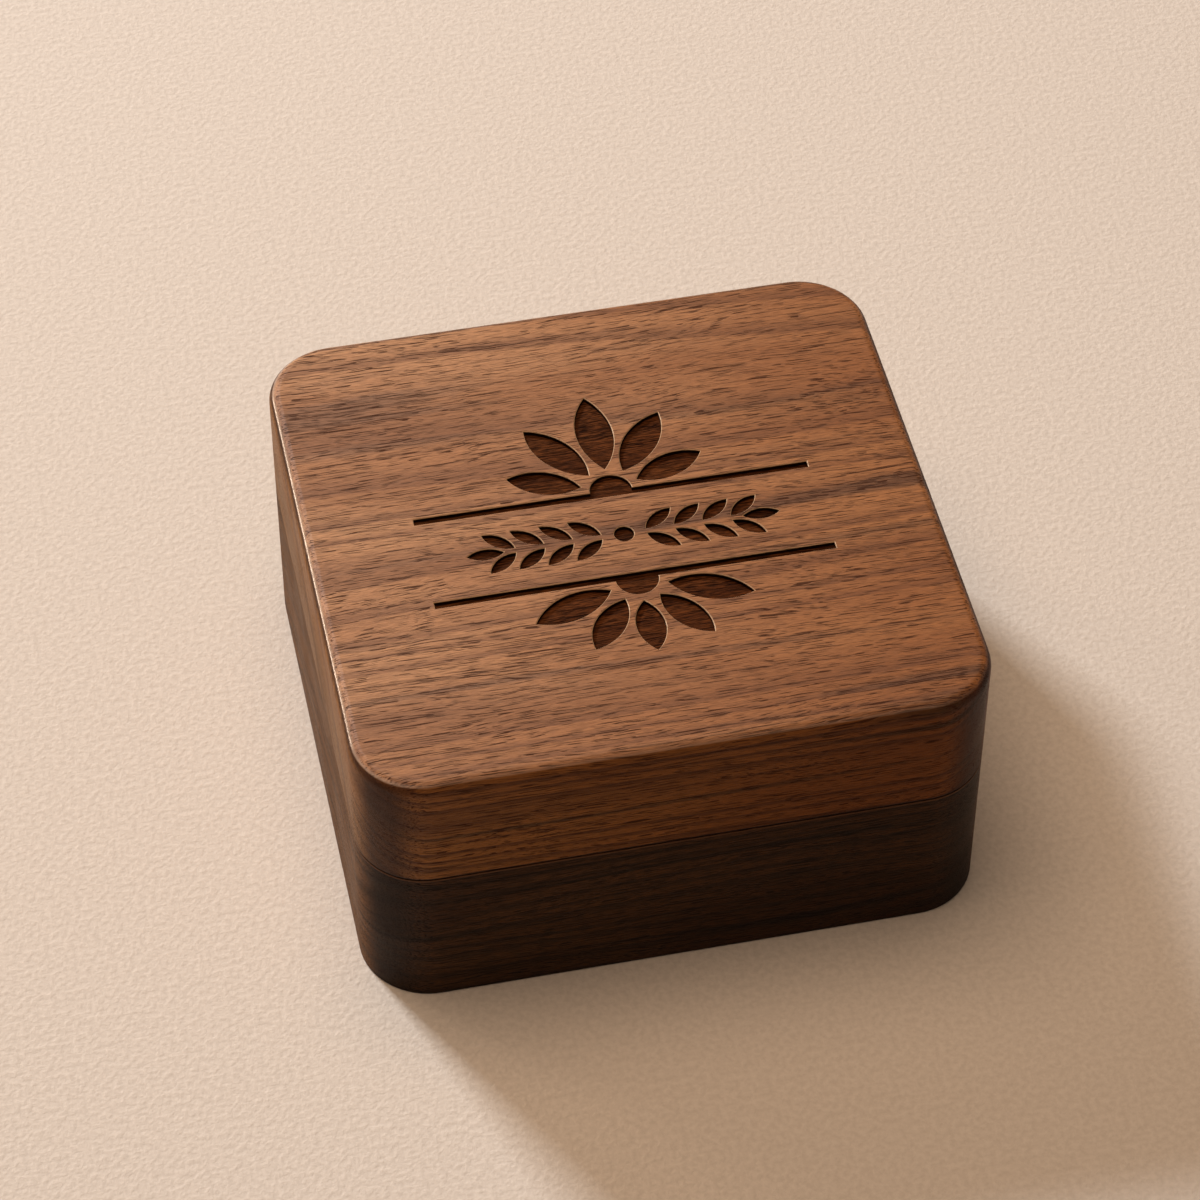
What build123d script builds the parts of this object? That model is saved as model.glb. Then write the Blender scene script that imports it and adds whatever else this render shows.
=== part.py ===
from build123d import *
import math
import os

# A square keepsake box routed from two blocks of walnut, a lid over a darker base.
# The lid turns on two brass butt hinges let into the rear rim, and magnets hold it shut.
# Millimetres, +Z up. The origin is the centre of the underside, and the front faces -Y.

# Outer form
box_width = 100.0
box_depth = 98.0
base_height = 28.1
lid_height = 21.5
seam_gap = 0.2
corner_radius = 11.2
top_edge_radius = 1.9
foot_edge_radius = 0.3
seam_edge_radius = 0.15

# Routed hollows
wall = 10.0
floor_thickness = 6.0
lid_top_thickness = 8.0
cavity_corner_radius = 5.0
mouth_ease = 0.4

# Rear bevels, which meet when the lid is fully open
opening_limit = 95.0
stop_angle = 1.0
stop_gap = 0.1

# Butt hinges
hinge_length = 20.0
hinge_side_margin = 15.0
pin_inset = 2.3
pin_radius = 0.8
pin_clearance = 0.03
pin_head_radius = 1.15
pin_head_thickness = 0.5
knuckle_radius = 1.7
knuckle_gap = 0.15
knuckle_relief = 0.3
leaf_thickness = 1.2
leaf_corner_radius = 0.8
mortise_lip = 1.2
mortise_clearance = 0.05

# Hinge screws
screw_spacing = 12.0
screw_radius = 0.8
screw_head_radius = 1.5
screw_length = 5.5
screw_point_length = 1.4
screw_slot_width = 0.4
screw_slot_depth = 0.35
screw_clearance = 0.03

# Closing magnets
magnet_radius = 3.0
magnet_thickness = 2.0
magnet_edge_chamfer = 0.2
magnet_side_margin = 20.0
magnet_sink = 0.1
magnet_clearance = 0.05

# Lining and pads
lining_thickness = 1.2
lining_setback = 1.0
lining_clearance = 0.05
pad_thickness = 3.0
pad_edge_radius = 1.2
pad_gap = 0.3

# Engraving in the lid: two rules, a fan of petals beyond each, and a leaf spray between
engraving_depth = 0.8
engraving_ease = 0.12
rule_length = 64.0
rule_width = 1.3
rear_rule_y = 5.7
front_rule_y = -12.6
hub_radius = 3.4
petal_gap = 1.4
petal_spacing = 35.0
petals_each_side = 2
petal_fullness = 0.76
rear_fan_height = 21.4
rear_fan_reach = 16.5
front_fan_height = 15.4
front_fan_reach = 19.0
berry_radius = 1.6
leaf_pairs = 4
leaf_pitch = 4.6
leaf_start = 3.6
leaf_length = 6.0
leaf_width = 2.3
leaf_angle = 38.0
leaf_stem = 1.0
end_leaf_gap = 1.8

# Levels and places that the pieces share
lid_z = base_height + seam_gap
top_z = lid_z + lid_height
ceiling_z = top_z - lid_top_thickness
hinge_z = base_height + seam_gap / 2
pin_y = box_depth / 2 - pin_inset
leaf_edge_y = box_depth / 2 - wall + mortise_lip
hinge_x = box_width / 2 - hinge_side_margin - hinge_length / 2
screw_y = (leaf_edge_y + pin_y - knuckle_radius) / 2
magnet_x = box_width / 2 - magnet_side_margin
magnet_y = -(box_depth - wall) / 2
cavity_width = box_width - 2 * wall
cavity_depth = box_depth - 2 * wall
bevel_angle = math.radians((opening_limit + stop_angle) / 2)
standing = (Align.CENTER, Align.CENTER, Align.MIN)
hanging = (Align.CENTER, Align.CENTER, Align.MAX)


def rounded_block(width, depth, height, radius):
    """A block with rounded upright corners, standing on the plane z = 0."""
    block = Box(width, depth, height, align=standing)
    return fillet(block.edges().filter_by(Axis.Z), radius)


def rod(radius, start, end):
    """A round bar on the hinge axis, from one x to another."""
    bar = Cylinder(radius, end - start, align=standing)
    return Pos(start, pin_y, hinge_z) * Rot(0, 90, 0) * bar


def spindle(*outline):
    """A solid of revolution about Z, from (radius, z) points."""
    profile = make_face(Polyline(*[(r, 0, z) for r, z in outline], close=True))
    return revolve(profile, Axis.Z)


# Wood

def rear_bevel(side):
    """The wedge planed off the rear rim: side is -1 for the base and 1 for the lid."""
    run = 2 * pin_inset
    apex_y = pin_y - stop_gap / 2 / math.sin(bevel_angle)
    rise = side * run * math.tan(bevel_angle)
    wedge = make_face(
        Polyline(
            (0, apex_y, hinge_z),
            (0, apex_y + run, hinge_z),
            (0, apex_y + run, hinge_z + rise),
            close=True,
        )
    )
    return extrude(wedge, amount=box_width, both=True)


def hinge_recesses(side):
    """What both hinges need cut out of one rim: leaf mortises, knuckle reliefs and pilot holes."""
    rim_z = base_height if side < 0 else lid_z
    length = hinge_length + 2 * mortise_clearance
    reach = pin_y - leaf_edge_y + mortise_clearance
    end = hinge_length / 2 + pin_head_thickness + knuckle_relief
    cuts = []
    for x in (-hinge_x, hinge_x):
        mortise = Box(length, reach, 2 * leaf_thickness)
        cuts.append(Pos(x, pin_y - reach / 2, rim_z) * mortise)
        cuts.append(rod(knuckle_radius + knuckle_relief, x - end, x + end))
        for place in screw_places(x):
            depth = 2 * (screw_length + screw_clearance)
            pilot = Cylinder(screw_radius + screw_clearance, depth)
            cuts.append(Pos(*place, rim_z) * pilot)
    return cuts


def magnet_holes(side):
    rim_z = base_height if side < 0 else lid_z
    depth = magnet_thickness + magnet_sink
    hole = Cylinder(magnet_radius + magnet_clearance, 2 * depth)
    return [Pos(x, magnet_y, rim_z) * hole for x in (-magnet_x, magnet_x)]


def base_body():
    """The darker lower block, hollowed from above."""
    body = rounded_block(box_width, box_depth, base_height, corner_radius)
    body = fillet(body.edges().group_by(Axis.Z)[0], foot_edge_radius)
    body = fillet(body.edges().group_by(Axis.Z)[-1], seam_edge_radius)
    cavity = rounded_block(cavity_width, cavity_depth, base_height, cavity_corner_radius)
    body -= Pos(0, 0, floor_thickness) * cavity
    rim = body.faces().sort_by(Axis.Z)[-1]
    body = chamfer(rim.inner_wires()[0].edges(), mouth_ease)
    return body - [rear_bevel(-1)] - hinge_recesses(-1) - magnet_holes(-1)


def lid_body():
    """The lighter upper block, hollowed from below and engraved on top."""
    body = Pos(0, 0, lid_z) * rounded_block(box_width, box_depth, lid_height, corner_radius)
    body = fillet(body.edges().group_by(Axis.Z)[-1], top_edge_radius)
    body = fillet(body.edges().group_by(Axis.Z)[0], seam_edge_radius)
    cavity = rounded_block(cavity_width, cavity_depth, lid_height, cavity_corner_radius)
    body -= Pos(0, 0, ceiling_z - lid_height) * cavity
    rim = body.faces().sort_by(Axis.Z)[0]
    body = chamfer(rim.inner_wires()[0].edges(), mouth_ease)
    body = body - [rear_bevel(1)] - hinge_recesses(1) - magnet_holes(1)
    return body - engraving()


# Engraving

def lens(start, tip, width):
    """A pointed leaf shape between two points, from two equal arcs."""
    start, tip = Vector(*start), Vector(*tip)
    middle = (start + tip) / 2
    along = (tip - start).normalized()
    across = Vector(-along.Y, along.X) * width / 2
    near = ThreePointArc(start, middle + across, tip)
    far = ThreePointArc(tip, middle - across, start)
    return make_face([near, far])


def fan(root_y, side, height, reach):
    """Petals round a half-round hub on a rule, with their tips on an ellipse."""
    shapes = []
    start = hub_radius + petal_gap
    for k in range(-petals_each_side, petals_each_side + 1):
        angle = math.radians(k * petal_spacing)
        across, up = math.sin(angle), side * math.cos(angle)
        tip = 1 / math.hypot(across / reach, up / height)
        chord = (start + tip) * math.sin(math.radians(petal_spacing / 2))
        inner = (start * across, root_y + start * up)
        outer = (tip * across, root_y + tip * up)
        shapes.append(lens(inner, outer, petal_fullness * chord))
    crown = ThreePointArc(
        (-hub_radius, root_y), (0, root_y + side * hub_radius), (hub_radius, root_y)
    )
    base = Line((hub_radius, root_y), (-hub_radius, root_y))
    return shapes + [make_face([crown, base])]


def spray():
    """Leaves in pairs to each side of a berry, and one at each end."""
    middle_y = (rear_rule_y + front_rule_y) / 2
    shapes = [Pos(0, middle_y) * Circle(berry_radius)]
    angle = math.radians(leaf_angle)
    for way in (-1, 1):
        for k in range(leaf_pairs):
            x = leaf_start + k * leaf_pitch
            for side in (-1, 1):
                root_y = middle_y + side * leaf_stem / 2
                tip_x = x + leaf_length * math.cos(angle)
                tip_y = root_y + side * leaf_length * math.sin(angle)
                shapes.append(lens((way * x, root_y), (way * tip_x, tip_y), leaf_width))
        last = leaf_start + (leaf_pairs - 1) * leaf_pitch + end_leaf_gap
        shapes.append(lens((way * last, middle_y), (way * (last + leaf_length), middle_y), leaf_width))
    return shapes


def pocket(shape):
    """A flat-floored pocket sunk from the lid's top, with its rim eased."""
    sunk = extrude(Pos(0, 0, top_z - engraving_depth) * shape, amount=engraving_depth)
    rim = Pos(0, 0, top_z - engraving_ease) * shape
    return sunk + extrude(rim, amount=2 * engraving_ease, taper=-45)


def engraving():
    """Every pocket of the engraving, as cutters that reach down from the lid's top."""
    shapes = []
    for y, side, height, reach in (
        (rear_rule_y, 1, rear_fan_height, rear_fan_reach),
        (front_rule_y, -1, front_fan_height, front_fan_reach),
    ):
        rule = Pos(0, y) * Rectangle(rule_length, rule_width)
        *petals, hub = fan(y + side * rule_width / 2, side, height, reach)
        shapes += petals + [rule + hub]
    shapes += spray()
    return [pocket(shape) for shape in shapes]


# Hinges

def knuckle_spans(x):
    """The three knuckles' ends along one hinge: the outer two are the base leaf's."""
    length = (hinge_length - 2 * knuckle_gap) / 3
    starts = [x - hinge_length / 2 + k * (length + knuckle_gap) for k in range(3)]
    return [(start, start + length) for start in starts]


def screw_places(x):
    return [(x - screw_spacing / 2, screw_y), (x + screw_spacing / 2, screw_y)]


def countersink(rim_z, side):
    """A cone with its wide end on the leaf's open face."""
    depth = screw_head_radius - screw_radius
    r = screw_clearance
    cone = spindle((0, 0), (screw_head_radius + r, 0), (screw_radius + r, depth), (0, depth))
    return Pos(0, 0, rim_z) * (cone if side > 0 else mirror(cone, Plane.XY))


def hinge_leaf(x, side):
    """One brass leaf with its knuckles: side is -1 on the base and 1 on the lid."""
    rim_z = base_height if side < 0 else lid_z
    width = pin_y - leaf_edge_y
    plate = Box(hinge_length, width, leaf_thickness, align=(Align.CENTER, Align.MAX, Align.MIN))
    plate = fillet(plate.edges().filter_by(Axis.Z).group_by(Axis.Y)[0], leaf_corner_radius)
    leaf = Pos(x, pin_y, rim_z if side > 0 else rim_z - leaf_thickness) * plate
    spans = knuckle_spans(x)
    own, other = (spans[::2], spans[1:2]) if side < 0 else (spans[1:2], spans[::2])
    for start, end in other:
        leaf -= rod(knuckle_radius + knuckle_gap, start - knuckle_gap, end + knuckle_gap)
    for start, end in own:
        leaf += rod(knuckle_radius, start, end)
    leaf -= rod(pin_radius + pin_clearance, x - hinge_length, x + hinge_length)
    for place in screw_places(x):
        hole = Cylinder(screw_radius + screw_clearance, 4 * leaf_thickness)
        leaf -= [Pos(*place, rim_z) * hole, Pos(*place, 0) * countersink(rim_z, side)]
    return leaf


def hinge_pin(x):
    """The steel pin, with a flat head against each outer knuckle."""
    half = hinge_length / 2
    pin = rod(pin_radius, x - half, x + half)
    pin += rod(pin_head_radius, x - half - pin_head_thickness, x - half)
    return pin + rod(pin_head_radius, x + half, x + half + pin_head_thickness)


def hinge_screw(side):
    """A slotted countersunk wood screw, its head flush with z = 0 and its point into the wood."""
    neck = screw_head_radius - screw_radius
    screw = spindle(
        (0, 0),
        (screw_head_radius, 0),
        (screw_radius, neck),
        (screw_radius, screw_length - screw_point_length),
        (0, screw_length),
    )
    screw -= Box(3 * screw_head_radius, screw_slot_width, 2 * screw_slot_depth)
    return screw if side > 0 else mirror(screw, Plane.XY)


def hinge_screws(x, side):
    rim_z = base_height if side < 0 else lid_z
    return [Pos(*place, rim_z) * hinge_screw(side) for place in screw_places(x)]


# Magnets

def magnet(x, side):
    """A nickel-plated disc, set just under the rim's surface."""
    face_z = base_height - magnet_sink if side < 0 else lid_z + magnet_sink
    disc = Cylinder(magnet_radius, magnet_thickness, align=hanging if side < 0 else standing)
    disc = chamfer(disc.edges().filter_by(GeomType.CIRCLE), magnet_edge_chamfer)
    return Pos(x, magnet_y, face_z) * disc


# Lining

def wall_lining(bottom, top):
    """A band of lining round one hollow."""
    outer_gap = 2 * lining_clearance
    inner_gap = outer_gap + 2 * lining_thickness
    height = top - bottom
    band = rounded_block(
        cavity_width - outer_gap,
        cavity_depth - outer_gap,
        height,
        cavity_corner_radius - lining_clearance,
    )
    band -= rounded_block(
        cavity_width - inner_gap,
        cavity_depth - inner_gap,
        height,
        cavity_corner_radius - lining_clearance - lining_thickness,
    )
    return Pos(0, 0, bottom) * band


def pad():
    """A padded panel that fits inside the lining, crowned edge up, standing on z = 0."""
    inset = lining_clearance + lining_thickness + pad_gap
    panel = rounded_block(
        cavity_width - 2 * inset,
        cavity_depth - 2 * inset,
        pad_thickness,
        cavity_corner_radius - inset,
    )
    return fillet(panel.edges().group_by(Axis.Z)[-1], pad_edge_radius)


def save(name, *solids):
    shape = solids[0] if len(solids) == 1 else Compound(children=list(solids))
    export_step(shape, f"parts/{name}.step")


os.makedirs("parts", exist_ok=True)
save("base_body", base_body())
save("lid_body", lid_body())
save("base_wall_lining", wall_lining(floor_thickness, base_height - lining_setback))
save("lid_wall_lining", wall_lining(lid_z + lining_setback, ceiling_z))
save("base_floor_pad", Pos(0, 0, floor_thickness) * pad())
save("lid_pad", Pos(0, 0, ceiling_z) * mirror(pad(), Plane.XY))
for hand, way in (("left", -1), ("right", 1)):
    save(f"{hand}_hinge_base_leaf", hinge_leaf(way * hinge_x, -1))
    save(f"{hand}_hinge_lid_leaf", hinge_leaf(way * hinge_x, 1))
    save(f"{hand}_hinge_pin", hinge_pin(way * hinge_x))
    save(f"{hand}_hinge_base_screws", *hinge_screws(way * hinge_x, -1))
    save(f"{hand}_hinge_lid_screws", *hinge_screws(way * hinge_x, 1))
    save(f"{hand}_base_magnet", magnet(way * magnet_x, -1))
    save(f"{hand}_lid_magnet", magnet(way * magnet_x, 1))
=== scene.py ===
import math

import bpy
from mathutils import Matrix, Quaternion, Vector


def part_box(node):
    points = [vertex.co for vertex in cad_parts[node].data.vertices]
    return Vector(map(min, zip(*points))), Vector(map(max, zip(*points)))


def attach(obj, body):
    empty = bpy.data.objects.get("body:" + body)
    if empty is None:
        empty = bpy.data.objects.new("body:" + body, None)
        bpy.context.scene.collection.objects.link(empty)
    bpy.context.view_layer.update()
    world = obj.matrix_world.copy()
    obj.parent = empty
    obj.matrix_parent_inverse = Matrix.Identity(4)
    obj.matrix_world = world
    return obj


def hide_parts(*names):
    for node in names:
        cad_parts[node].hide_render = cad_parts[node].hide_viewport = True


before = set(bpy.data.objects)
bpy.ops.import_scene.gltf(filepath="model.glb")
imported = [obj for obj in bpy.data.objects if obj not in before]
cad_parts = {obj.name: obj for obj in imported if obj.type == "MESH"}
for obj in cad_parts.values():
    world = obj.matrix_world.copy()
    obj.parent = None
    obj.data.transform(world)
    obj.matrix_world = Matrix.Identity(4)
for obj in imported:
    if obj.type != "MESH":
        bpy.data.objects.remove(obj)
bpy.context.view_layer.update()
bpy.ops.object.select_all(action="DESELECT")


# Base body
# The lower half of the box, routed from one block of walnut that was stained dark and oiled.
# The grain runs along X, so the ends at left and right show the rings cut across.

def linear(colour):
    """An sRGB hex value as linear RGBA."""
    channels = [int(colour[k:k + 2], 16) / 255 for k in (1, 3, 5)]
    return (*[c / 12.92 if c <= 0.04045 else ((c + 0.055) / 1.055) ** 2.4 for c in channels], 1.0)


def new_material(name):
    """A named material with an empty node tree, and its tree."""
    material = bpy.data.materials.new(name)
    material.use_nodes = True
    material.node_tree.nodes.clear()
    return material, material.node_tree


def add(tree, kind, inputs=(), out=0, **settings):
    """Adds a node with its settings and gives one output. Inputs are values, or outputs to link."""
    node = tree.nodes.new("ShaderNode" + kind)
    for name, value in settings.items():
        setattr(node, name, value)
    for name, value in inputs.items() if isinstance(inputs, dict) else enumerate(inputs):
        if isinstance(value, bpy.types.NodeSocket):
            tree.links.new(value, node.inputs[name])
        else:
            node.inputs[name].default_value = value
    return node.outputs[out] if node.outputs else node


def finish_cad(node, material):
    """Gives a CAD node one material in all its slots."""
    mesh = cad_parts[node].data
    mesh.materials.clear()
    mesh.materials.append(material)


metres_to_mm = 1000.0
seam_z_mm = (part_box("base_body")[1].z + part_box("lid_body")[0].z) / 2 * metres_to_mm
eased = {"interpolation_type": "SMOOTHSTEP"}

# Solid walnut, sawn a little off flat. Rings about 3 mm apart lie on a slant, and dark
# pigment streaks, open pores and fine fibres all run along X and waver with the grain.
ring_spacing_mm = 3.0
ring_unevenness = 5.0
late_wood_start = 0.40
late_wood_end = 0.92
pith_mm = Vector((0.0, 130.0, -220.0))
grain_waves_mm = {
    "bends": ((80.0, 24.0, 18.0), (0.0, 9.6, 7.2)),
    "ripples": ((12.0, 3.0, 3.0), (0.0, 0.96, 0.72)),
}


def walnut_grain(tree, mm):
    """The patterns of one walnut block by name, as outputs. They are told by the place in millimetres."""
    grain = mm
    for length_mm, swing_mm in grain_waves_mm.values():
        waves = add(tree, "VectorMath", [grain, length_mm], operation="DIVIDE")
        drift = add(tree, "TexNoise", {"Vector": waves, "Scale": 1.0, "Detail": 1.0})
        drift = add(tree, "Math", [drift, 0.5], operation="SUBTRACT")
        grain = add(tree, "VectorMath", [drift, swing_mm, grain], operation="MULTIPLY_ADD")

    from_pith = add(tree, "VectorMath", [grain, (0.0, 1.0, 1.0), -pith_mm], operation="MULTIPLY_ADD")
    radius = add(tree, "VectorMath", [from_pith], out="Value", operation="LENGTH")
    along = add(tree, "SeparateXYZ", [grain])
    in_rings = add(tree, "CombineXYZ", [along, radius])

    # The place that each pattern is told by, its size along and across the grain, and the noise's
    # detail and roughness. Real fibres are near 0.02 mm wide, and these are 0.16 mm so that they
    # show. The vessels and pores have their real width.
    patterns = {
        "uneven": (in_rings, (400.0, 9.0, 1.0), 1.0, 0.5),
        "streaks": (in_rings, (140.0, 2.3, 1.0), 2.0, 0.5),
        "veins": (in_rings, (50.0, 0.6, 1.0), 3.0, 0.6),
        "clouds": (grain, (60.0, 17.0, 12.0), 2.0, 0.5),
        "fibres": (grain, (2.2, 0.16, 0.16), 2.0, 0.6),
        "short vessels": (grain, (4.0, 0.19, 0.19), 0.0, 0.5),
        "long vessels": (grain, (17.0, 0.20, 0.20), 1.0, 0.4),
        "fine pores": (grain, (2.0, 0.12, 0.12), 0.0, 0.5),
    }
    for name, (place, size_mm, detail, roughness) in patterns.items():
        place = add(tree, "VectorMath", [place, size_mm], operation="DIVIDE")
        noise = {"Vector": place, "Scale": 1.0, "Detail": detail, "Roughness": roughness}
        patterns[name] = add(tree, "TexNoise", noise)
    spans = {"streaks": (0.55, 0.70), "veins": (0.52, 0.70), "clouds": (0.35, 0.65), "fibres": (0.30, 0.70)}
    for name, (start, full) in spans.items():
        patterns[name] = add(tree, "MapRange", [patterns[name], start, full], **eased)

    # Each ring darkens slowly to its late wood and ends sharply.
    rings = add(tree, "Math", [radius, ring_spacing_mm], operation="DIVIDE")
    rings = add(tree, "Math", [patterns["uneven"], ring_unevenness, rings], operation="MULTIPLY_ADD")
    phase = add(tree, "Math", [rings], operation="FRACT")
    darkening = add(tree, "MapRange", [phase, late_wood_start, late_wood_end], **eased)
    ending = add(tree, "MapRange", [phase, late_wood_end, 1.0, 1.0, 0.0], **eased)
    patterns["late wood"] = add(tree, "Math", [darkening, ending], operation="MULTIPLY")

    # Open pores crowd together in the dark streaks and veins, and are rarer outside them.
    crowding = add(tree, "Math", [patterns["streaks"], patterns["veins"]], operation="MAXIMUM")
    crowding = add(tree, "Math", [crowding, 0.08, -0.065], operation="MULTIPLY_ADD")
    vessels = add(tree, "Math", [patterns["short vessels"], patterns["long vessels"]], operation="MAXIMUM")
    vessels = add(tree, "Math", [vessels, crowding], operation="ADD")
    fine_pores = add(tree, "Math", [patterns["fine pores"], crowding], operation="ADD")
    fine_pores = add(tree, "MapRange", [fine_pores, 0.61, 0.67, 0.0, 0.5], **eased)
    open_vessels = add(tree, "MapRange", [vessels, 0.632, 0.654], **eased)
    patterns["pores"] = add(tree, "Math", [open_vessels, fine_pores], operation="MAXIMUM")
    patterns["dents"] = add(tree, "MapRange", [vessels, 0.585, 0.650], **eased)
    return patterns


wood_reflection = 0.1
wax_roughness = 0.37
pore_roughness = 0.25
fibre_height = 0.3
deepening_and_shading_per_metre = (16.0, -4.0, 0.0)
lit_end_sheen_share = 0.7
upright_wax_share = 0.15
painted_seam_line_share = 0.85
painted_seam_line_mm = (0.30, 0.48)
shaded_low_end_mm = (8.0, 14.0)
rubbed_and_highlight_share = 0.4
burnish = 2.5
burnished_roughness = 0.20


def oiled_walnut(name, offset_mm, tones, fibre_contrast, gloss, wax, burn=None):
    """Oiled walnut in the given tones, waxed on its top and edges. A last step may burn it."""
    material, tree = new_material(name)
    coords = add(tree, "TexCoord", out="Object")
    mm = add(tree, "Mapping", {"Vector": coords, "Scale": (metres_to_mm,) * 3, "Location": offset_mm})
    grain = walnut_grain(tree, mm)

    # The wood deepens from the left towards the right, a tone of its own, and it is painted a little
    # darker towards the front, a painted shade for the light falling off from the lamp behind.
    reach = add(tree, "VectorMath", [coords, deepening_and_shading_per_metre], out="Value", operation="DOT_PRODUCT")
    deeper_and_shaded = add(tree, "MapRange", [reach, -1.0, 1.0], **eased)

    # How far a face looks along X or Z tells its kind. Each kind has its axis, where it starts,
    # where it is full, and its share at both.
    normal = add(tree, "TexCoord", out="Normal")
    faces = {
        "side": ("Z", 0.60, 0.92, 1.0, 0.0),
        "end": ("X", 0.75, 0.97, 0.0, lit_end_sheen_share),
        "waxed": ("Z", 0.97, 1.00, upright_wax_share * wax, wax),
        "rounding": ("Z", 0.66, 0.76, 0.0, 1.0),
        "flattening": ("Z", 0.76, 0.92, rubbed_and_highlight_share, 0.0),
        "front": ("X", 0.20, 0.70, 1.0, 0.0),
        "turning": ("X", 0.15, 0.60, 0.0, 1.0),
        "past corner": ("X", 0.80, 0.98, 1.0, 0.0),
    }
    for kind, (axis, start, full, first, last) in faces.items():
        facing = add(tree, "SeparateXYZ", [normal], out=axis)
        facing = add(tree, "Math", [facing], operation="ABSOLUTE")
        faces[kind] = add(tree, "MapRange", [facing, start, full, first, last], **eased)

    # Upright faces are painted darker, a painted shade, and are hardly waxed. The ends are painted
    # lighter and warmer, a painted sheen for the raking light on them. The round corners are painted
    # darker still, a painted shade. The round top edge is waxed to a narrow shining line, which is also
    # painted paler as a painted highlight, most of all where it faces left towards the lamps.
    side = faces["side"]
    rubbed_and_highlight = add(tree, "Math", [faces["rounding"], faces["flattening"]], operation="MULTIPLY")
    sideways = add(tree, "SeparateXYZ", [normal], out="X")
    toward_lamps = add(tree, "MapRange", [sideways, -0.40, 0.20, 1.0, 0.15], **eased)
    rubbed_and_highlight = add(tree, "Math", [rubbed_and_highlight, toward_lamps], operation="MULTIPLY")
    front = add(tree, "Math", [faces["front"], side], operation="MULTIPLY")
    corner = add(tree, "Math", [faces["turning"], faces["past corner"]], operation="MULTIPLY")
    corner = add(tree, "Math", [corner, side], operation="MULTIPLY")

    # A narrow line along the seam is painted, dark on the lid as painted shade in the gap and pale on
    # the base as a painted highlight on its edge. The lower part of an end is painted darker, a painted
    # shade.
    height = add(tree, "SeparateXYZ", [coords], out="Z")
    above_seam = add(tree, "Math", [height, metres_to_mm, -seam_z_mm], operation="MULTIPLY_ADD")
    from_seam = add(tree, "Math", [above_seam], operation="ABSOLUTE")
    beside_seam = add(tree, "MapRange", [from_seam, *painted_seam_line_mm, painted_seam_line_share, 0.0], **eased)
    painted_seam_line = add(tree, "Math", [beside_seam, side], operation="MULTIPLY")
    shaded_low_end = add(tree, "MapRange", [above_seam, *shaded_low_end_mm, faces["end"], 0.0], **eased)

    # How strongly each pattern shows on all faces, and how much more on the upright ones along
    # the grain.
    shares = {
        "late wood": (0.54, 0.36),
        "streaks": (0.50, 0.50),
        "veins": (0.25, 0.45),
        "pores": (0.88, 0.0),
    }
    for pattern, (share, more) in shares.items():
        share = add(tree, "Math", [front, more, share], operation="MULTIPLY_ADD")
        shares[pattern] = add(tree, "Math", [grain[pattern], share], operation="MULTIPLY")
    brightness = add(tree, "MapRange", [grain["fibres"], 0.0, 1.0, *fibre_contrast], **eased)

    colour = linear(tones["light"])
    steps = (
        (grain["clouds"], "mid", "MIX"),
        # The ends are painted lighter and warmer, a painted sheen for the raking light on them.
        (faces["end"], "end", "MIX"),
        (shares["late wood"], "late", "MIX"),
        (shares["streaks"], "streak", "MIX"),
        (shares["veins"], "late", "MIX"),
        # Darker towards the right as a tone of the wood, and towards the front as a painted shade.
        (deeper_and_shaded, "deeper_and_shaded", "MULTIPLY"),
        # Upright faces are painted darker, a painted shade.
        (side, "side", "MULTIPLY"),
        # Round corners are painted darker, a painted shade.
        (corner, "corner", "MULTIPLY"),
        # The lower part of an end is painted darker, a painted shade where the sheen on it fades.
        (shaded_low_end, "low end", "MULTIPLY"),
        (brightness, None, None),
        (shares["pores"], "pore", "MIX"),
        # The top edge is painted paler in a narrow line, a painted highlight, over its real waxed shine.
        (rubbed_and_highlight, "rubbed_and_highlight", "MIX"),
        # The edge along the seam is painted, dark on the lid as shade in the gap and pale on the base as a
        # highlight.
        (painted_seam_line, "seam", "MIX"),
    )
    for share, tone, blend in steps:
        if tone:
            layers = {0: share, 6: colour, 7: linear(tones[tone])}
            colour = add(tree, "Mix", layers, out=2, data_type="RGBA", blend_type=blend)
        else:
            colour = add(tree, "VectorMath", {0: colour, 3: share}, operation="SCALE")

    relief = add(tree, "Math", [grain["fibres"], fibre_height], operation="MULTIPLY")
    relief = add(tree, "Math", [relief, grain["dents"]], operation="SUBTRACT")
    dulled = add(tree, "MapRange", [grain["clouds"], 0.0, 1.0, gloss, gloss + 0.08], **eased)
    dry_pores = add(tree, "MapRange", [grain["pores"], 0.0, 1.0, 1.0, 0.2], **eased)
    burnished = add(tree, "Math", [rubbed_and_highlight, burnish, faces["waxed"]], operation="MULTIPLY_ADD")
    smoothing = [rubbed_and_highlight, 0.0, rubbed_and_highlight_share, wax_roughness, burnished_roughness]
    sockets = {
        "Base Color": colour,
        "Roughness": add(tree, "Math", [grain["pores"], pore_roughness, dulled], operation="MULTIPLY_ADD"),
        "Normal": add(tree, "Bump", {"Height": relief, "Distance": 0.00016, "Strength": 0.9}),
        "Specular IOR Level": wood_reflection,
        "Coat Weight": add(tree, "Math", [burnished, dry_pores], operation="MULTIPLY"),
        "Coat Roughness": add(tree, "MapRange", smoothing),
    }
    if burn:
        sockets |= burn(tree, mm, grain["fibres"], sockets["Base Color"], sockets["Coat Weight"])
    add(tree, "OutputMaterial", {"Surface": add(tree, "BsdfPrincipled", sockets)})
    return material


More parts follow.
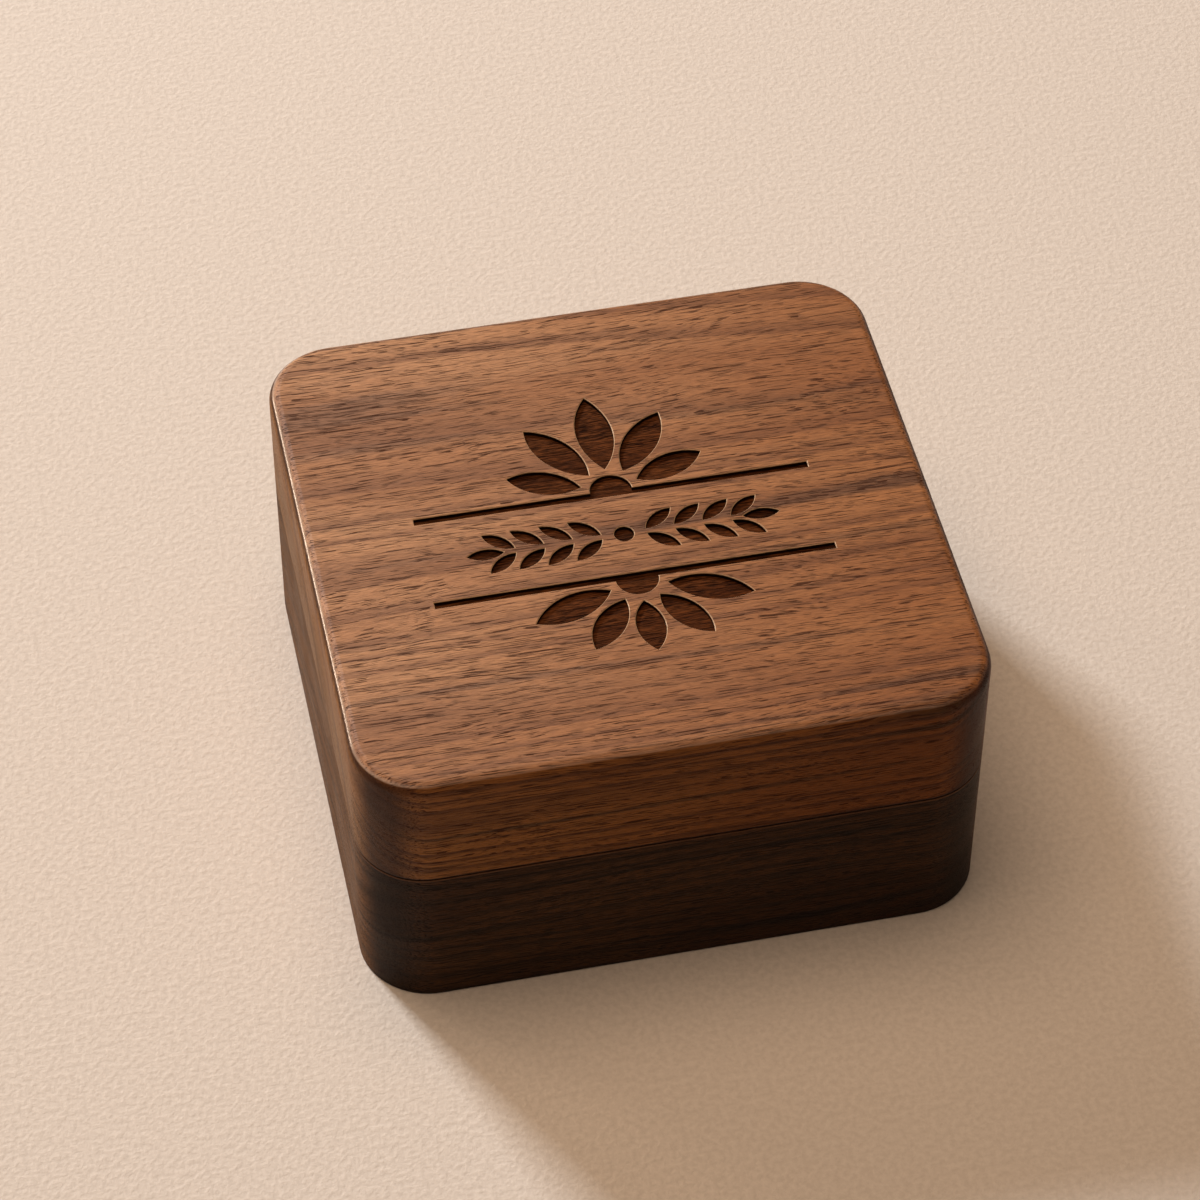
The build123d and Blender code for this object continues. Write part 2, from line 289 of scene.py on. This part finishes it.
# Dark stain and a little oil leave the wood nearly matt, with pale fibres between black pores.
# Its darker upright faces and corners are painted shade, its lighter ends a painted sheen, and its
# pale edge at the seam and pale top edge are painted highlights.
dark_tones = {
    "light": "#5E3D29",
    "mid": "#4E3020",
    "late": "#3A2419",
    "streak": "#2C1C15",
    "pore": "#1A100C",
    "end": "#925D2F",
    "rubbed_and_highlight": "#7A5134",
    "deeper_and_shaded": "#E4D6C8",
    "side": "#D6D2AC",
    "corner": "#ADA273",
    "low end": "#FFFFFF",
    "seam": "#6E482E",
}
dark_walnut = oiled_walnut("dark_stained_walnut", (0.0, 210.0, 17.0), dark_tones, (0.60, 1.45), 0.42, 0.12)
finish_cad("base_body", dark_walnut)


# Lid
# The upper half, routed from a lighter block of walnut and engraved by a laser.
# The engraved floors are scorched but still show the grain, and their walls are charred.

lid_top_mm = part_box("lid_body")[1].z * metres_to_mm
engraving_depth_mm = 0.8
eased_rim_mm = 0.12
engraved_half_width_mm = 36.0
engraved_half_depth_mm = 32.0
ridge_contrast = (0.55, 1.45)
burnt_reflection = 0.03


def engrave(tree, mm, fibres, colour, wax):
    """The shader's sockets, scorched and dull where the wood lies below the rims of the engraving."""
    x, y, z = [add(tree, "SeparateXYZ", [mm], out=axis) for axis in "XYZ"]
    inside = []
    for place, half_mm in (x, engraved_half_width_mm), (y, engraved_half_depth_mm):
        distance = add(tree, "Math", [place], operation="ABSOLUTE")
        inside.append(add(tree, "Math", [distance, half_mm], operation="LESS_THAN"))
    field = add(tree, "Math", inside, operation="MULTIPLY")
    depth = add(tree, "Math", [lid_top_mm, z], operation="SUBTRACT")

    # Each burn grows from one depth to a second one. It fades again over two more, if it has them.
    floor_mm = engraving_depth_mm
    burns = {
        "pocket": (eased_rim_mm, 1.6 * eased_rim_mm, None, None, 1.0),
        "charred wall": (0.25, 0.55, 0.72 * floor_mm, 0.97 * floor_mm, 0.9),
        # The fresh edge is paler, partly the fresh wood of the eased rim and partly a painted highlight down
        # the top of the walls.
        "fresh edge": (0.005, 0.03, 0.12, 0.30, 0.8),
    }
    shares = {}
    for name, (start, full, fading, end, share) in burns.items():
        grown = add(tree, "MapRange", [depth, start, full, 0.0, share], **eased)
        if fading:
            left = add(tree, "MapRange", [depth, fading, end, 1.0, 0.0], **eased)
            grown = add(tree, "Math", [grown, left], operation="MULTIPLY")
        shares[name] = add(tree, "Math", [grown, field], operation="MULTIPLY")

    ridges = add(tree, "MapRange", [fibres, 0.1, 0.9, *ridge_contrast], **eased)
    ridged = add(tree, "VectorMath", {0: colour, 3: ridges}, operation="SCALE")
    scorch = {0: 1.0, 6: ridged, 7: linear("#816C59")}
    scorched = add(tree, "Mix", scorch, out=2, data_type="RGBA", blend_type="MULTIPLY")
    layers = (
        ("pocket", scorched),
        ("charred wall", linear("#1E0F08")),
        # Fresh wood and a painted highlight at the rim.
        ("fresh edge", linear("#E2B68C")),
    )
    for name, layer in layers:
        colour = add(tree, "Mix", {0: shares[name], 6: colour, 7: layer}, out=2, data_type="RGBA")
    unburnt = add(tree, "Math", [1.0, shares["pocket"]], operation="SUBTRACT")
    reflection = [shares["pocket"], 0.0, 1.0, wood_reflection, burnt_reflection]
    return {
        "Base Color": colour,
        "Specular IOR Level": add(tree, "MapRange", reflection),
        "Coat Weight": add(tree, "Math", [wax, unburnt], operation="MULTIPLY"),
    }


# Clear oil and buffed wax leave a satin top, with grey-brown streaks and dark open pores. Its
# darker upright faces, corners and lower ends are painted shade, and so is its dark edge at the seam
# in the gap. Its lighter ends are a painted sheen and its pale top edge a painted highlight.
tones = {
    "light": "#BE8A63",
    "mid": "#AE7953",
    "late": "#784F39",
    "streak": "#6A5348",
    "pore": "#3A1804",
    "end": "#C09067",
    "rubbed_and_highlight": "#E2BEA4",
    "deeper_and_shaded": "#D4BC9C",
    "side": "#D1BC89",
    "corner": "#8F8158",
    "low end": "#DAE1E0",
    "seam": "#120804",
}
walnut = oiled_walnut("oiled_walnut", (0.0, 0.0, 0.0), tones, (0.83, 1.15), 0.38, 0.5, engrave)
finish_cad("lid_body", walnut)


# Wall linings
# Strips of tan microsuede on card, bent round the inside of each hollow and glued to the wood.
# The suede is turned over the card's edges, so the rims are round and soft.

lining_thickness = 0.0012
lining_corner_radius = 0.00495
turned_edge_radius = 0.00055


def start_block(name, low, high):
    """A block between two corners, alone selected and with its place in its mesh."""
    bpy.ops.object.select_all(action="DESELECT")
    bpy.ops.mesh.primitive_cube_add(size=1.0, location=(low + high) / 2, scale=high - low)
    bpy.ops.object.transform_apply()
    block = bpy.context.object
    block.name = name
    return block


def pick(piece, kind, test):
    """In edit mode, selects the edges or faces whose corners pass the test, and nothing else."""
    bpy.ops.mesh.select_mode(type=kind)
    bpy.ops.mesh.select_all(action="DESELECT")
    bpy.ops.object.mode_set(mode="OBJECT")
    mesh = piece.data
    for item in mesh.edges if kind == "EDGE" else mesh.polygons:
        item.select = test([mesh.vertices[k].co for k in item.vertices])
    bpy.ops.object.mode_set(mode="EDIT")


def height_of(corners):
    """How far some corners reach upwards, from the lowest to the highest."""
    return max(c.z for c in corners) - min(c.z for c in corners)


def apply_modifier(piece, kind, **settings):
    """Adds a modifier with its settings and applies it."""
    modifier = piece.modifiers.new(kind.lower(), kind)
    for name, value in settings.items():
        setattr(modifier, name, value)
    bpy.ops.object.modifier_apply(modifier=modifier.name)


# The real nap is near 0.05 mm, and this one is 0.35 mm so that it shows.
brushed_patch_mm = 14.0
nap_mm = 0.35


def brushed_microsuede(name, pile, shadow):
    """Matt microfibre with a short nap, which brushing leaves in soft paler and darker patches."""
    material, tree = new_material(name)
    coords = add(tree, "TexCoord", out="Object")
    mm = add(tree, "Mapping", {"Vector": coords, "Scale": (metres_to_mm,) * 3})
    scale = 1 / brushed_patch_mm
    patches = {"Vector": mm, "Scale": scale, "Detail": 2.0, "Roughness": 0.5, "Distortion": 0.6}
    tufts = {"Vector": mm, "Scale": 1 / nap_mm, "Detail": 3.0, "Roughness": 0.7}
    nap = add(tree, "TexNoise", tufts)
    brushed = add(tree, "MapRange", [add(tree, "TexNoise", patches), 0.35, 0.65])
    worn_tips = add(tree, "MapRange", [nap, 0.35, 0.65, 0.0, 0.6])
    share = add(tree, "Math", [brushed, 0.4, worn_tips], operation="MULTIPLY_ADD")
    tones = {0: share, 6: linear(shadow), 7: linear(pile)}
    sockets = {
        "Base Color": add(tree, "Mix", tones, out=2, data_type="RGBA"),
        "Roughness": 0.92,
        "Normal": add(tree, "Bump", {"Height": nap, "Distance": 0.00009, "Strength": 0.8}),
        "Specular IOR Level": 0.2,
        "Sheen Weight": 0.35,
        "Sheen Roughness": 0.45,
        "Sheen Tint": linear(pile),
    }
    add(tree, "OutputMaterial", {"Surface": add(tree, "BsdfPrincipled", sockets)})
    return material


def line_walls(name, node, body):
    """A lining strip in the place of the CAD one."""
    low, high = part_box(node)
    strip = start_block(name, low, high)
    bpy.ops.object.mode_set(mode="EDIT")
    pick(strip, "EDGE", lambda corners: height_of(corners) > lining_thickness)
    bpy.ops.mesh.bevel(offset=lining_corner_radius, segments=10, affect="EDGES")
    pick(strip, "FACE", lambda corners: height_of(corners) < lining_thickness)
    bpy.ops.mesh.delete(type="FACE")
    bpy.ops.object.mode_set(mode="OBJECT")
    apply_modifier(strip, "SOLIDIFY", thickness=lining_thickness, offset=-1.0)
    apply_modifier(strip, "BEVEL", width=turned_edge_radius, segments=4, angle_limit=math.radians(60))
    bpy.ops.object.shade_smooth_by_angle(angle=math.radians(40))
    strip.data.materials.append(tan_microsuede)
    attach(strip, body)
    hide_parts(node)


# Tan suede looks warm and matt, and a little paler on its worn tips.
tan_microsuede = brushed_microsuede("tan_microsuede", "#C8A682", "#A98660")
line_walls("base_lining_strip", "base_wall_lining", "base")
line_walls("lid_lining_strip", "lid_wall_lining", "lid")


# Pads
# A thin foam cushion in paler microsuede lies in the base, and one like it is glued in the lid.
# The top and bottom covers are sewn together round a piping cord, and the foam swells them.

pad_low, pad_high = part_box("base_floor_pad")
pad_size = pad_high - pad_low
piping_radius = 0.00065
seam_height = 0.0013
sewing_corner_radius = 0.0045
cover_mesh_size = 0.00095
cloth_scale = 10.0
cloth_frames = 17
crown_share = 0.24
pull_share = 0.07


def sewn_cover():
    """The pad's cover at ten times its size, as tiny cloth behaves badly. Its seam is at height 0."""
    seam = Vector((pad_size.x / 2 - piping_radius, pad_size.y / 2 - piping_radius, seam_height))
    half = seam * cloth_scale
    cover = start_block("base_cushion", -half, half)
    bpy.ops.object.mode_set(mode="EDIT")
    pick(cover, "EDGE", lambda corners: height_of(corners) > half.z)
    bpy.ops.mesh.bevel(offset=sewing_corner_radius * cloth_scale, segments=8, affect="EDGES")
    bpy.ops.object.mode_set(mode="OBJECT")
    apply_modifier(cover, "REMESH", mode="VOXEL", voxel_size=cover_mesh_size * cloth_scale)
    return cover


def swell(cover):
    """Blows the cover up as cloth. The foam holds it back, and its sides pull in only a little."""
    flat = [v.co.copy() for v in cover.data.vertices]
    cloth = cover.modifiers.new("cloth", "CLOTH")
    cloth.settings.quality = 6
    cloth.settings.mass = 0.3
    cloth.settings.tension_stiffness = 20.0
    cloth.settings.compression_stiffness = 20.0
    cloth.settings.shear_stiffness = 8.0
    cloth.settings.bending_stiffness = 0.5
    cloth.settings.use_pressure = True
    cloth.settings.uniform_pressure_force = 4.0
    cloth.settings.effector_weights.gravity = 0.0
    for frame_number in range(1, cloth_frames + 1):
        bpy.context.scene.frame_set(frame_number)
    bpy.ops.object.modifier_apply(modifier=cloth.name)
    for v, start in zip(cover.data.vertices, flat):
        v.co = start + (v.co - start) * Vector((pull_share, pull_share, crown_share))


def settle(cover):
    """Brings the cover to its real size, its crown to the pad's height and its underside flat."""
    width, depth, height = [max(v.co[k] for v in cover.data.vertices) for k in range(3)]
    across = (pad_size.x / 2 - piping_radius) / width
    along = (pad_size.y / 2 - piping_radius) / depth
    up = (pad_size.z - seam_height) / height
    for v in cover.data.vertices:
        v.co = (v.co.x * across, v.co.y * along, max(v.co.z * up, -seam_height))


def select_only(piece):
    """Makes one piece the active object and the only one selected."""
    bpy.ops.object.select_all(action="DESELECT")
    bpy.context.view_layer.objects.active = piece
    piece.select_set(True)


def lay(piece, material, node, height, body):
    """Puts a sewn piece in its place. The place is in its mesh, as on a CAD node."""
    select_only(piece)
    low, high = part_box(node)
    piece.location = ((low.x + high.x) / 2, (low.y + high.y) / 2, height)
    bpy.ops.object.transform_apply()
    piece.data.materials.clear()
    piece.data.materials.append(material)
    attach(piece, body)


cover = sewn_cover()
swell(cover)
settle(cover)
apply_modifier(cover, "SUBSURF", levels=1, render_levels=1)
bpy.ops.object.shade_smooth()

bpy.ops.object.duplicate()
piping = bpy.context.object
piping.name = "base_cushion_piping"
bpy.ops.object.mode_set(mode="EDIT")
bpy.ops.mesh.select_all(action="SELECT")
bpy.ops.mesh.bisect(plane_co=(0.0, 0.0, 0.0), plane_no=(0.0, 0.0, 1.0), clear_inner=True, clear_outer=True)
bpy.ops.object.mode_set(mode="OBJECT")
bpy.ops.object.convert(target="CURVE")
piping.data.bevel_depth = piping_radius
piping.data.bevel_resolution = 3
bpy.ops.object.convert(target="MESH")
bpy.ops.object.shade_smooth()

# Cream suede is the same cloth a tone paler, so the pads stand out softly from the walls.
cream_microsuede = brushed_microsuede("cream_microsuede", "#DCC3A0", "#BE9F79")
for piece, material, slot in (cover, cream_microsuede, "pad_cover"), (piping, tan_microsuede, "lining"):
    select_only(piece)
    bpy.ops.object.duplicate()
    lid_copy = bpy.context.object
    lid_copy.name = piece.name.replace("base", "lid")
    lid_copy.rotation_euler = (math.pi, 0.0, 0.0)
    lay(lid_copy, material, "lid_pad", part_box("lid_pad")[1].z - seam_height, "lid")
    lay(piece, material, "base_floor_pad", pad_low.z + seam_height, "base")

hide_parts("base_floor_pad")
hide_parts("lid_pad")


# Hinges
# Two small butt hinges of rolled brass, brushed along their length, on drawn steel pins.
# Each leaf lies in a mortise and is held by two slotted countersunk brass screws.

screws_low, screws_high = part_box("right_hinge_base_screws")
hinge_x_mm = (screws_low.x + screws_high.x) / 2 * metres_to_mm
screw_y_mm = (screws_low.y + screws_high.y) / 2 * metres_to_mm
screw_head_radius_mm = (screws_high.y - screws_low.y) / 2 * metres_to_mm
screw_spacing_mm = 12.0

# Real drawing lines are near 0.05 mm wide, and these are 0.1 mm so that they show.
drawn_line_mm = (6.0, 0.1, 0.1)
lathe_mark_mm = 0.12
tarnish_spot_mm = 2.5
marks_roughness = 0.22
tarnish_roughness = 0.08
slot_darkening_colour = "#1C130B"


def worked_metal(name, bright, dull, roughness, marks, slot_darkening=None):
    """Metal with the marks of its tool and faint tarnish. A last step may darken it by a share."""
    material, tree = new_material(name)
    coords = add(tree, "TexCoord", out="Object")
    mm = add(tree, "Mapping", {"Vector": coords, "Scale": (metres_to_mm,) * 3})
    height = marks(tree, mm)
    spots = {"Vector": mm, "Scale": 1 / tarnish_spot_mm, "Detail": 4.0, "Roughness": 0.65}
    tarnish = add(tree, "MapRange", [add(tree, "TexNoise", spots), 0.40, 0.70])
    colour = add(tree, "Mix", {0: tarnish, 6: linear(bright), 7: linear(dull)}, out=2, data_type="RGBA")
    smoothest = roughness - marks_roughness / 2
    worn = add(tree, "Math", [height, marks_roughness, smoothest], operation="MULTIPLY_ADD")
    metallic = 1.0
    if slot_darkening:
        share = slot_darkening(tree, mm)
        colour = add(tree, "Mix", {0: share, 6: colour, 7: linear(slot_darkening_colour)}, out=2, data_type="RGBA")
        metallic = add(tree, "Math", [1.0, share], operation="SUBTRACT")
    sockets = {
        "Base Color": colour,
        "Metallic": metallic,
        "Roughness": add(tree, "Math", [tarnish, tarnish_roughness, worn], operation="MULTIPLY_ADD"),
        "Normal": add(tree, "Bump", {"Height": height, "Distance": 0.00001, "Strength": 0.6}),
    }
    add(tree, "OutputMaterial", {"Surface": add(tree, "BsdfPrincipled", sockets)})
    return material


def drawn_along_x(tree, mm):
    """The fine lines of brushed sheet and drawn wire, long in X."""
    lines = add(tree, "VectorMath", [mm, drawn_line_mm], operation="DIVIDE")
    return add(tree, "TexNoise", {"Vector": lines, "Scale": 1.0, "Detail": 2.0})


def radius_about(tree, mm, half_spacings_mm, y_mm):
    """The distance from the nearest of some upright axes, mirrored at each half spacing in X."""
    x, y = [add(tree, "SeparateXYZ", [mm], out=axis) for axis in "XY"]
    for half_spacing in half_spacings_mm:
        folded = add(tree, "Math", [x], operation="ABSOLUTE")
        x = add(tree, "Math", [folded, half_spacing], operation="SUBTRACT")
    y = add(tree, "Math", [y, y_mm], operation="SUBTRACT")
    from_axis = add(tree, "CombineXYZ", [x, y])
    return add(tree, "VectorMath", [from_axis], out="Value", operation="LENGTH")


def turned_about(*axes_mm):
    """The fine rings of a piece turned on a lathe."""
    def marks(tree, mm):
        rings = add(tree, "CombineXYZ", [radius_about(tree, mm, *axes_mm)])
        return add(tree, "TexNoise", {"Vector": rings, "Scale": 1 / lathe_mark_mm, "Detail": 2.0})
    return marks


def darkened_heads(tree, mm):
    """Darker in the slots of the screws and round the rims of their heads."""
    height = add(tree, "SeparateXYZ", [mm], out="Z")
    above = add(tree, "Math", [height, seam_z_mm], operation="SUBTRACT")
    depth = add(tree, "Math", [above], operation="ABSOLUTE")
    slot = add(tree, "MapRange", [depth, 0.14, 0.26, 0.0, 0.9])
    radius = radius_about(tree, mm, *screw_axes_mm)
    rim = add(tree, "MapRange", [radius, screw_head_radius_mm - 0.16, screw_head_radius_mm - 0.04, 0.0, 0.8])
    return add(tree, "Math", [slot, rim], operation="MAXIMUM")


# Brass gives a warm satin yellow, brighter where it was turned, and the steel pins a cool grey.
brushed_brass = worked_metal("brushed_brass", "#D6AE63", "#B98A43", 0.34, drawn_along_x)
screw_axes_mm = ([hinge_x_mm, screw_spacing_mm / 2], screw_y_mm)
turned = turned_about(*screw_axes_mm)
turned_brass = worked_metal("turned_brass", "#E4C07C", "#C4964E", 0.28, turned, darkened_heads)
drawn_steel = worked_metal("drawn_steel", "#BDBBB7", "#8E8C88", 0.30, drawn_along_x)
for hand in ("left", "right"):
    finish_cad(f"{hand}_hinge_base_leaf", brushed_brass)
    finish_cad(f"{hand}_hinge_lid_leaf", brushed_brass)
    finish_cad(f"{hand}_hinge_base_screws", turned_brass)
    finish_cad(f"{hand}_hinge_lid_screws", turned_brass)
    finish_cad(f"{hand}_hinge_pin", drawn_steel)


# Magnets
# Four pressed-in magnet discs hold the lid shut. They are plated with bright nickel,
# which keeps the fine rings of the lapped disc under it and mirrors its surroundings softly.

magnet_x_mm = 30.0
magnet_y_mm = -44.0
lapped = turned_about([magnet_x_mm], magnet_y_mm)
nickel_plate = worked_metal("nickel_plate", "#E2DFD8", "#BFBBB2", 0.20, lapped)
for hand in ("left", "right"):
    finish_cad(f"{hand}_base_magnet", nickel_plate)
    finish_cad(f"{hand}_lid_magnet", nickel_plate)


# Studio
# A pale plaster floor under three soft lamps. The key lamp behind and to the left throws the
# shadow, a low one grazes the left side, and a wide warm one overhead fills the shade.

floor_size = 3.0
trowel_mark_mm = 1.0
bpy.ops.mesh.primitive_plane_add(size=floor_size)
floor = bpy.context.object
floor.name = "floor"

# Trowelled plaster is matt and pale, and a little darker in its shallow hollows.
plaster, tree = new_material("pale_plaster")
coords = add(tree, "TexCoord", out="Object")
mm = add(tree, "Mapping", {"Vector": coords, "Scale": (metres_to_mm,) * 3})
marks = {"Vector": mm, "Scale": 1 / trowel_mark_mm, "Detail": 3.0, "Roughness": 0.55}
trowelled = add(tree, "TexNoise", marks)
raised = add(tree, "MapRange", [trowelled, 0.35, 0.65])
plaster_tones = {0: raised, 6: linear("#D7C8BB"), 7: linear("#E3D4C7")}
sockets = {
    "Base Color": add(tree, "Mix", plaster_tones, out=2, data_type="RGBA"),
    "Roughness": 0.85,
    "Normal": add(tree, "Bump", {"Height": trowelled, "Distance": 0.0004, "Strength": 0.5}),
}
add(tree, "OutputMaterial", {"Surface": add(tree, "BsdfPrincipled", sockets)})
floor.data.materials.append(plaster)

# The world lights the box faintly, and the camera and glossy surfaces see it paler.
ambient_strength = 0.05
seen_strength = 0.65
mirrored_strength = 0.35

scene = bpy.context.scene
scene.view_settings.view_transform = "Standard"
world = bpy.data.worlds.new("pale_surround")
scene.world = world
world.use_nodes = True
tree = world.node_tree
seen = add(tree, "LightPath", out="Is Camera Ray")
mirrored = add(tree, "LightPath", out="Is Glossy Ray")
strength = add(tree, "Math", [seen, seen_strength, ambient_strength], operation="MULTIPLY_ADD")
strength = add(tree, "Math", [mirrored, mirrored_strength, strength], operation="MULTIPLY_ADD")
background = tree.nodes["Background"]
background.inputs["Color"].default_value = linear("#F3E8DC")
tree.links.new(strength, background.inputs["Strength"])


def outward(azimuth, elevation):
    """The direction out from the box. Azimuth 0 is in front, at -Y, and 90 at the right."""
    a, e = math.radians(azimuth), math.radians(elevation)
    return Vector((math.sin(a) * math.cos(e), -math.cos(a) * math.cos(e), math.sin(e)))


def soft_lamp(name, azimuth, elevation, distance, size, watts, colour):
    """A square soft box that faces the middle of the box."""
    away = outward(azimuth, elevation)
    bpy.ops.object.light_add(type="AREA", location=away * distance)
    lamp = bpy.context.object
    lamp.name = name
    lamp.rotation_mode = "QUATERNION"
    lamp.rotation_quaternion = away.to_track_quat("Z", "Y")
    lamp.data.size = size
    lamp.data.energy = watts
    lamp.data.color = linear(colour)[:3]


soft_lamp("key_lamp", 207.0, 36.0, 2.2, 0.34, 40.0, "#EDF7FF")
soft_lamp("rim_lamp", 226.0, 6.0, 2.2, 0.4, 12.5, "#FFE8CE")
soft_lamp("top_lamp", 240.0, 80.0, 2.0, 1.4, 24.0, "#FFE2C3")


# Camera
# It looks down at the box from the front, a little from the left. The long lens keeps the
# box's edges nearly parallel.

camera_azimuth = -12.108
camera_elevation = 47.042
camera_distance = 0.67444
camera_roll = 0.204
camera_target = Vector((-0.001835, 0.005887, 0.025))
lens_mm = 123.95
sensor_mm = 36.0
nearest_seen = 0.05

back = outward(camera_azimuth, camera_elevation)
bpy.ops.object.camera_add(location=camera_target + back * camera_distance)
camera = bpy.context.object
roll = Quaternion((0.0, 0.0, 1.0), math.radians(camera_roll))
camera.rotation_mode = "QUATERNION"
camera.rotation_quaternion = back.to_track_quat("Z", "Y") @ roll
camera.data.lens = lens_mm
camera.data.sensor_width = sensor_mm
camera.data.clip_start = nearest_seen
scene.camera = camera
